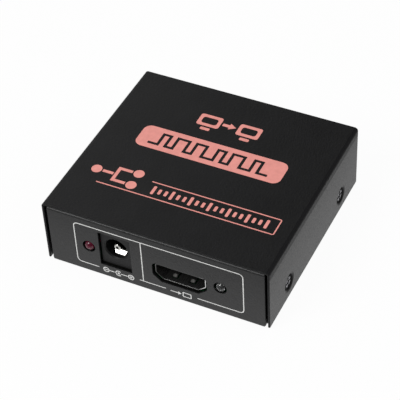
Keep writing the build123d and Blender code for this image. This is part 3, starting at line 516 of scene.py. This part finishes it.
def chip_part(name, body, box, axis):
    """Chip parts in two rows that fill a box along an axis. The two ends of each part are tinned."""
    material, tree, shader, place = start_material(name)
    low, high = (corner["XYZ".index(axis)] for corner in box)
    part_length = 1.6 * MM
    end_length = 0.3 * MM
    outside = (high - low) / 2
    distance = away_from(tree, place, axis, (high + low) / 2)
    outer = combine(tree, "GREATER_THAN", distance, outside - end_length)
    inner = combine(tree, "LESS_THAN", distance, outside - part_length + end_length)
    end = combine(tree, "MAXIMUM", outer, inner)
    mottle = spread(tree, noise(tree, place, 0.2 * MM), 0.0, 1.0)
    colour = blend_colours(tree, mottle, darkened(body, 0.75), body)
    tree.links.new(blend_colours(tree, end, colour, linear(205, 205, 208)), shader.inputs["Base Color"])
    tree.links.new(end, shader.inputs["Metallic"])
    tree.links.new(spread(tree, mottle, 0.30, 0.42, 0.0, 1.0), shader.inputs["Roughness"])
    bump(tree, shader, mottle, 0.004 * MM, 0.4)
    return material


def epoxy(name, colour, clearness, smooth, rough):
    """Cast epoxy of a light, a little cloudy."""
    material, tree, shader, place = start_material(name)
    cloud = spread(tree, noise(tree, place, 0.8 * MM), 0.0, 1.0)
    tree.links.new(blend_colours(tree, cloud, darkened(colour, 0.8), colour), shader.inputs["Base Color"])
    tree.links.new(spread(tree, cloud, smooth, rough, 0.0, 1.0), shader.inputs["Roughness"])
    shader.inputs["Transmission Weight"].default_value = clearness
    shader.inputs["IOR"].default_value = 1.5
    return material


def ink(name, colour, shine):
    """Screen-printed ink: even, with the fine marks of the mesh."""
    material, tree, shader, place = start_material(name)
    cloud = spread(tree, noise(tree, place, 1.6 * MM, 3.0), 0.0, 1.0)
    mesh_marks = noise(tree, place, 0.12 * MM)
    tree.links.new(blend_colours(tree, cloud, darkened(colour, 0.88), colour), shader.inputs["Base Color"])
    tree.links.new(spread(tree, mesh_marks, shine, shine + 0.1), shader.inputs["Roughness"])
    bump(tree, shader, mesh_marks, 0.004 * MM, 0.5)
    return material


def make_plastics():
    """The moulded materials: chips' resin, the sockets' plastic, and for the jack a darker, duller copy that
    paints shade.
    """
    resin = moulded("chip_resin", linear(30, 30, 32), linear(38, 38, 41), 0.12 * MM, 0.45, 0.6, 0.006 * MM)
    grain = 0.16 * MM
    plastic = moulded("black_plastic", linear(20, 20, 21), linear(27, 27, 28), grain, 0.30, 0.42, 0.008 * MM)
    # Painted shade: the jack's recessed face takes a darker, less reflective copy of the sockets' plastic.
    jack = moulded("jack_plastic_painted_shade", linear(14, 14, 15), linear(19, 19, 20), grain, 0.46, 0.58, 0.012 * MM, 0.3)
    return resin, plastic, jack


def make_dress():
    """A material for each slot, and one for each node that has its own."""
    along_y = (1.0, 0.2, 1.0)
    along_z = (1.0, 1.0, 0.1)
    resin, plastic, jack_plastic_painted_shade = make_plastics()
    tray_coat, *_ = powder_coat("tray_powder_coat")
    dress = {
        "case_coat": tray_coat,
        "black_screw": screw_black(),
        "plated_steel": plated("zinc_plate", linear(186, 188, 186), linear(206, 204, 192), 0.30, 0.45),
        "bright_nickel": plated(
            "bright_nickel", linear(214, 213, 209), linear(232, 231, 227), 0.12, 0.22, along_y
        ),
        "tinned_metal": plated("tinned_metal", linear(200, 200, 202), linear(222, 222, 224), 0.28, 0.45),
        "contact_gold": plated("contact_gold", linear(214, 172, 92), linear(232, 190, 108), 0.18, 0.3),
        "black_moulding": plastic,
        "board_laminate": board_laminate(),
        "chip_resin": resin,
        "can_metal": plated(
            "can_aluminium", linear(206, 207, 209), linear(222, 223, 225), 0.22, 0.36, along_z
        ),
        "resistor_glaze": chip_part("resistor_glaze", linear(34, 34, 37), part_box("chip_resistors"), "Y"),
        "capacitor_ceramic": chip_part(
            "capacitor_ceramic", linear(168, 128, 92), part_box("chip_capacitors"), "X"
        ),
        "red_lens": epoxy("red_epoxy", linear(140, 38, 70), 0.66, 0.12, 0.20),
        "clear_lens": epoxy("clear_epoxy", linear(226, 228, 228), 0.95, 0.03, 0.08),
    }
    own = {
        "top_cover": cover_coat(),
        "power_jack_housing": jack_plastic_painted_shade,
        # Painted shade on the pin and leaf beyond their bright bands near the front.
        "power_jack_pin": jack_contact("pin_nickel", "power_jack_pin", -0.1 * MM, 0.3 * MM),
        "power_jack_sleeve_leaf": jack_contact("leaf_nickel", "power_jack_sleeve_leaf", 0.22 * MM, 1.0 * MM),
    }
    for name in ("input", "output_1", "output_2"):
        own[f"{name}_socket_shell"] = socket_shell(name)
    return dress, own


def dress_nodes(dress, own):
    """Give each CAD node its own material, or its slot's."""
    for subpart in frame["record"]["subparts"]:
        node = frame["nodes"][subpart["node"]]
        node.data.materials.clear()
        material = own.get(subpart["node"]) or dress[subpart["material_slot"]]
        node.data.materials.append(material)


# Print: flat shapes drawn as loops of points and raised by the ink's height


def arc(centre, radius, start, end, steps=arc_steps):
    """Points of an arc, with its angles in degrees."""
    return [
        (
            centre[0] + radius * cos(radians(start + (end - start) * step / steps)),
            centre[1] + radius * sin(radians(start + (end - start) * step / steps)),
        )
        for step in range(steps + 1)
    ]


def disc(centre, radius):
    """Loop of a full circle."""
    return arc(centre, radius, 0, 360, 4 * arc_steps)[:-1]


def rounded_box(low, high, radius):
    """Loop of a rectangle with round corners."""
    (left, bottom), (right, top) = low, high
    return (
        arc((left + radius, bottom + radius), radius, 180, 270)
        + arc((right - radius, bottom + radius), radius, 270, 360)
        + arc((right - radius, top - radius), radius, 0, 90)
        + arc((left + radius, top - radius), radius, 90, 180)
    )


def ribbon(path, width):
    """Loop round an open path, with mitred corners."""
    points = [Vector(point) for point in path]
    left, right = [], []
    for index, point in enumerate(points):
        before = (point - points[index - 1]).normalized() if index else None
        after = (points[index + 1] - point).normalized() if index < len(points) - 1 else None
        ahead = ((before or after) + (after or before)).normalized()
        across = Vector((-ahead.y, ahead.x))
        reach = width / 2 / max(0.3, ahead.dot(after or before))
        left.append(point + across * reach)
        right.append(point - across * reach)
    return [tuple(point) for point in left + right[::-1]]


def ring(loop_maker, width):
    """Two loops of a closed outline, from a function of the distance outwards."""
    return [loop_maker(width / 2), loop_maker(-width / 2)]


def print_shapes(name, loops, face, material):
    """Raise loops off a face of the case. The face gives the print's origin, x and y directions."""
    origin, right, up = (Vector(part) for part in face)
    outwards = right.cross(up)
    curve = bpy.data.curves.new(name, "CURVE")
    curve.dimensions = "2D"
    curve.fill_mode = "BOTH"
    curve.extrude = print_height / 2
    for loop in loops:
        spline = curve.splines.new("POLY")
        spline.points.add(len(loop) - 1)
        for point, (x, y) in zip(spline.points, loop):
            point.co = (x, y, 0.0, 1.0)
        spline.use_cyclic_u = True
    draft = bpy.data.objects.new(name, curve)
    bpy.context.scene.collection.objects.link(draft)
    bpy.context.view_layer.update()
    mesh = bpy.data.meshes.new_from_object(draft)
    bpy.data.objects.remove(draft)
    turn = Matrix((right, up, outwards)).transposed().to_4x4()
    mesh.transform(Matrix.Translation(origin + outwards * print_height / 2) @ turn)
    piece = bpy.data.objects.new(name, mesh)
    bpy.context.scene.collection.objects.link(piece)
    mesh.materials.clear()
    mesh.materials.append(material)
    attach(piece, UNIT)


front_face = ((0.0, tray_low[1], 0.0), (1.0, 0.0, 0.0), (0.0, 0.0, 1.0))
rear_face = ((0.0, tray_high[1], 0.0), (-1.0, 0.0, 0.0), (0.0, 0.0, 1.0))
top_face = ((0.0, 0.0, case_height), (1.0, 0.0, 0.0), (0.0, 1.0, 0.0))


def panel_frame(left, right, divider, gaps):
    """A thin frame round a panel's fittings, open where a sign stands in its lower line."""
    bottom, top, corner = 2.95 * MM, 17.05 * MM, 1.2 * MM
    edges = [left]
    for gap_left, gap_right in gaps:
        edges += [gap_left, gap_right]
    edges.append(right)
    start = edges[1]
    end = edges[-2]
    outline = (
        [(start, bottom)]
        + arc((left + corner, bottom + corner), corner, 270, 180)
        + arc((left + corner, top - corner), corner, 180, 90)
        + arc((right - corner, top - corner), corner, 90, 0)
        + arc((right - corner, bottom + corner), corner, 0, -90)
        + [(end, bottom)]
    )
    loops = [ribbon(outline, print_line)]
    for first, second in zip(edges[2:-2:2], edges[3:-1:2]):
        loops.append(ribbon([(first, bottom), (second, bottom)], print_line))
    return loops, ribbon([(divider, bottom + print_line / 2), (divider, top - print_line / 2)], print_line)


def cross(x, y, half, line):
    """A plus sign as one loop."""
    thin = line / 2
    corners = ((thin, half), (thin, thin), (half, thin))
    loop = []
    for turn in range(4):
        angle = -pi / 2 * turn
        for u, v in corners:
            loop.append((x + u * cos(angle) - v * sin(angle), y + u * sin(angle) + v * cos(angle)))
    return loop


def power_sign(x, y):
    """Direct-current polarity: minus on the sleeve, plus on the pin."""
    line = 0.30 * MM
    radius = 0.78 * MM
    half = 0.44 * MM
    reach = 3.7 * MM
    space = 0.22 * MM
    sleeve = 1.0 * MM
    sleeve_opening = 0.6 * MM
    pin = 0.36 * MM
    minus, plus = x - reach, x + reach
    return (
        ring(lambda out: disc((minus, y), radius + out), line)
        + [ribbon([(minus - half, y), (minus + half, y)], line)]
        + ring(lambda out: disc((plus, y), radius + out), line)
        + [cross(plus, y, half, line)]
        + [ribbon([(minus + radius + space, y), (x - sleeve - space, y)], line)]
        + [ribbon([(x + sleeve_opening, y), (plus - radius - space, y)], line)]
        + [ribbon(arc((x, y), sleeve - line / 2, 45, 315), line)]
        + [disc((x, y), pin)]
    )


def arrow(tail, tip, y, width, head):
    """An arrow along x, as one loop."""
    way = 1 if tip > tail else -1
    neck = tip - way * head
    return [
        (tail, y - width / 2),
        (neck, y - width / 2),
        (neck, y - head * 0.62),
        (tip, y),
        (neck, y + head * 0.62),
        (neck, y + width / 2),
        (tail, y + width / 2),
    ]


def signal_sign(x, y, way):
    """An arrow into a box for the input, and out of it for an output."""
    line = 0.28 * MM
    box_half, box_high = 1.15 * MM, 0.72 * MM
    corner = 0.3 * MM
    head = 0.95 * MM
    box_x = x + 1.7 * MM
    outline = ring(
        lambda out: rounded_box(
            (box_x - box_half - out, y - box_high - out), (box_x + box_half + out, y + box_high + out), corner
        ),
        line,
    )
    near, far = x - 3.1 * MM, x + 0.1 * MM
    shaft = arrow(near, far, y, line, head) if way > 0 else arrow(far, near, y, line, head)
    return outline + [shaft]


def digit_one(x, y, high, line):
    """The number one."""
    return [ribbon(scaled_by(x, y, high, ((-0.22, 0.28), (0.02, 0.5), (0.02, -0.5))), line)]


def digit_two(x, y, high, line):
    """The number two."""
    bowl = arc((0.0, 0.24), 0.26, 165, -35)
    return [ribbon(scaled_by(x, y, high, bowl + [(-0.27, -0.48), (0.3, -0.48)]), line)]


def scaled_by(x, y, size, points):
    """Points of a unit shape, scaled and moved."""
    return [(x + size * u, y + size * v) for u, v in points]


def print_front(white):
    """Frame, divider and signs on the front panel."""
    power_x, input_x, sign_y = -11.1 * MM, 7.3 * MM, 2.75 * MM
    gaps = [(-16.9 * MM, -4.8 * MM), (2.85 * MM, 12.0 * MM)]
    loops, divider = panel_frame(-23.3 * MM, 25.2 * MM, -3.7 * MM, gaps)
    print_shapes("front_frame_print", loops + [divider], front_face, white)
    print_shapes("front_power_sign", power_sign(power_x, sign_y), front_face, white)
    print_shapes("front_input_sign", signal_sign(input_x, sign_y, 1), front_face, white)


def print_rear(white):
    """Frame, divider and signs on the rear panel, whose x runs the other way."""
    first_x, second_x, sign_y = -15.275 * MM, 9.2 * MM, 2.75 * MM
    gap = 5.0 * MM
    gaps = [(first_x - gap, first_x + gap), (second_x - gap, second_x + gap)]
    loops, divider = panel_frame(-25.0 * MM, 25.0 * MM, 0.0, gaps)
    print_shapes("rear_frame_print", loops + [divider], rear_face, white)
    line = 0.28 * MM
    shift = 1.0 * MM
    digit_x = 3.0 * MM
    digit_height = 1.6 * MM
    for name, x, digit in (("first", first_x, digit_one), ("second", second_x, digit_two)):
        sign = signal_sign(x - shift, sign_y, -1) + digit(x + digit_x, sign_y, digit_height, line)
        print_shapes(f"rear_{name}_output_sign", sign, rear_face, white)


def screen(x, y, width, height, line):
    """A display on its foot."""
    foot_y = y - height / 2
    outline = ring(
        lambda out: rounded_box(
            (x - width / 2 - out, foot_y - out), (x + width / 2 + out, y + height / 2 + out), 0.7 * line
        ),
        line,
    )
    stand_y = foot_y - 1.1 * line
    foot = rounded_box((x - width / 4, stand_y - line), (x + width / 4, stand_y), line / 3)
    return outline + [foot]


def print_displays(coral):
    """Two displays with an arrow from one to the other."""
    line = 1.05 * MM
    y = 16.9 * MM
    reach = 5.9 * MM
    half_arrow = 2.0 * MM
    width, height = 5.6 * MM, 3.6 * MM
    loops = [arrow(-half_arrow, half_arrow, y, line, half_arrow)]
    for x in (-reach, reach):
        loops += screen(x, y, width, height, line)
    print_shapes("top_display_sign", loops, top_face, coral)


def print_bar(coral):
    """A rounded bar with a pulse train left bare in it."""
    low, high = 2.6 * MM, 7.0 * MM
    widths = [3.0, 2.2, 2.2, 3.4, 2.2, 3.0, 3.4, 2.2, 2.2, 3.4, 3.0, 2.2]
    pulse_line = 0.88 * MM
    tail = 3.0 * MM
    corner = 2.2 * MM
    x = -17.9 * MM
    pulse = [(x, low)]
    level = low
    for width in widths:
        x += width * MM
        pulse.append((x, level))
        level = high if level == low else low
        pulse.append((x, level))
    pulse.append((x + tail, level))
    bar = rounded_box((-21.3 * MM, 0.5 * MM), (21.5 * MM, 9.1 * MM), corner)
    print_shapes("top_bar_print", [bar, ribbon(pulse, pulse_line)], top_face, coral)


def print_strip(coral):
    """A strip between two thin lines, joined at the right, with a row of tall and short bars in it."""
    line = 0.35 * MM
    corner = 0.4 * MM
    corner_x = 27.4 * MM
    strip = ribbon(
        [(-23.2 * MM, -16.9 * MM)]
        + arc((corner_x, -16.5 * MM), corner, 270, 360)
        + arc((corner_x, -11.6 * MM), corner, 0, 90)
        + [(-9.4 * MM, -11.2 * MM)],
        line,
    )
    print_shapes("top_strip_frame", [strip], top_face, coral)
    bars = []
    bar_count = 19
    y = -14.05 * MM
    half_width = 0.42 * MM
    bar_corner = 0.3 * MM
    for index in range(bar_count):
        x = (-7.6 + 1.8 * index) * MM
        half_height = (1.6 if index % 3 == 0 else 0.95) * MM
        low = (x - half_width, y - half_height)
        high = (x + half_width, y + half_height)
        bars.append(rounded_box(low, high, bar_corner))
    print_shapes("top_strip_bars", bars, top_face, coral)


def print_fork(coral):
    """One disc joined to two others: a signal that is split."""
    line = 0.95 * MM
    radius = 1.5 * MM
    space = 0.35 * MM
    root, fork_x, end_x = (-25.4 * MM, -12.4 * MM), -19.6 * MM, -14.0 * MM
    upper_y, lower_y = -9.9 * MM, -14.6 * MM
    reach = end_x - radius - space
    fork = [
        disc(root, radius),
        disc((end_x, upper_y), radius),
        disc((end_x, lower_y), radius),
        ribbon([(root[0] + radius + space, root[1]), (fork_x - line / 2 - space, root[1])], line),
        ribbon([(reach, upper_y), (fork_x, upper_y), (fork_x, lower_y), (reach, lower_y)], line),
    ]
    print_shapes("top_fork_sign", fork, top_face, coral)


def print_top(coral):
    """Generic signs in coral on the cover."""
    print_displays(coral)
    print_bar(coral)
    print_strip(coral)
    print_fork(coral)


# Lights: what shows inside the cast lenses


def lathe(name, outline, tip, way, steps=24):
    """A round piece about a line along y, from points of depth and radius counted from the lens's tip."""
    mesh = bpy.data.meshes.new(name)
    solid = bmesh.new()
    rings = []
    for depth, radius in outline:
        rings.append(
            [
                solid.verts.new(
                    (
                        tip[0] + radius * cos(2 * pi * step / steps),
                        tip[1] + way * depth,
                        tip[2] + radius * sin(2 * pi * step / steps),
                    )
                )
                for step in range(steps)
            ]
        )
    for first, second in zip(rings, rings[1:]):
        for step in range(steps):
            after = (step + 1) % steps
            solid.faces.new((first[step], first[after], second[after], second[step]))
    solid.faces.new(rings[0])
    solid.faces.new(rings[-1][::-1])
    bmesh.ops.recalc_face_normals(solid, faces=solid.faces)
    solid.to_mesh(mesh)
    solid.free()
    for face in mesh.polygons:
        face.use_smooth = len(face.vertices) == 4
    piece = bpy.data.objects.new(name, mesh)
    bpy.context.scene.collection.objects.link(piece)
    return piece


def dress_light(name, cup_metal, die_colour):
    """A reflector cup with its die, and the post beside it."""
    low, high = (Vector(corner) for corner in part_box(f"{name}_led_lens"))
    middle = (low + high) / 2
    way = 1 if middle.y < 0 else -1
    tip = Vector((middle.x, low.y if way > 0 else high.y, middle.z))
    front = 2.1 * MM
    well = front + 0.30 * MM
    back = front + 3.1 * MM
    wall = 0.66 * MM
    wire = 0.26 * MM
    die_radius = 0.15 * MM
    post_offset = 1.0 * MM
    cup = lathe(
        f"{name}_led_cup",
        [
            (well, wire),
            (front, 0.56 * MM),
            (front, wall),
            (front + 0.45 * MM, wall),
            (front + 0.60 * MM, 0.36 * MM),
            (back, wire),
        ],
        tip,
        way,
    )
    cup.data.materials.append(cup_metal)
    die = lathe(f"{name}_led_die", [(front + 0.16 * MM, die_radius), (well, die_radius)], tip, way, steps=4)
    die.data.materials.append(die_colour)
    post = lathe(
        f"{name}_led_post",
        [(front + 0.05 * MM, 0.16 * MM), (front + 0.5 * MM, wire), (back, wire)],
        tip + Vector((post_offset, 0.0, 0.0)),
        way,
        steps=12,
    )
    post.data.materials.append(cup_metal)
    for piece in (cup, die, post):
        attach(piece, UNIT)


def die_material(name, dark, light):
    """The faintly rough surface of a die."""
    return moulded(name, dark, light, 0.05 * MM, 0.3, 0.4, 0.001 * MM)


def make_lights_inside(metal):
    """Cups, dies and posts in all four lights."""
    red_die = die_material("led_die_red", linear(120, 30, 34), linear(150, 40, 44))
    pale_die = die_material("led_die_pale", linear(180, 176, 120), linear(204, 200, 140))
    for name in ("power", "input", "output_1", "output_2"):
        dress_light(name, metal, red_die if name == "power" else pale_die)


# Scene

make_camera()
make_world()
make_floor()
make_lamp("key", key_place, key_size, key_power)
make_lamp("fill", fill_place, fill_size, fill_power)
dress, own = make_dress()
dress_nodes(dress, own)
white = ink("white_ink", linear(226, 226, 224), 0.42)
coral = ink("coral_ink", linear(251, 164, 154), 0.45)
print_front(white)
print_rear(white)
print_top(coral)
make_lights_inside(dress["bright_nickel"])

bpy.context.scene.view_settings.view_transform = "Standard"
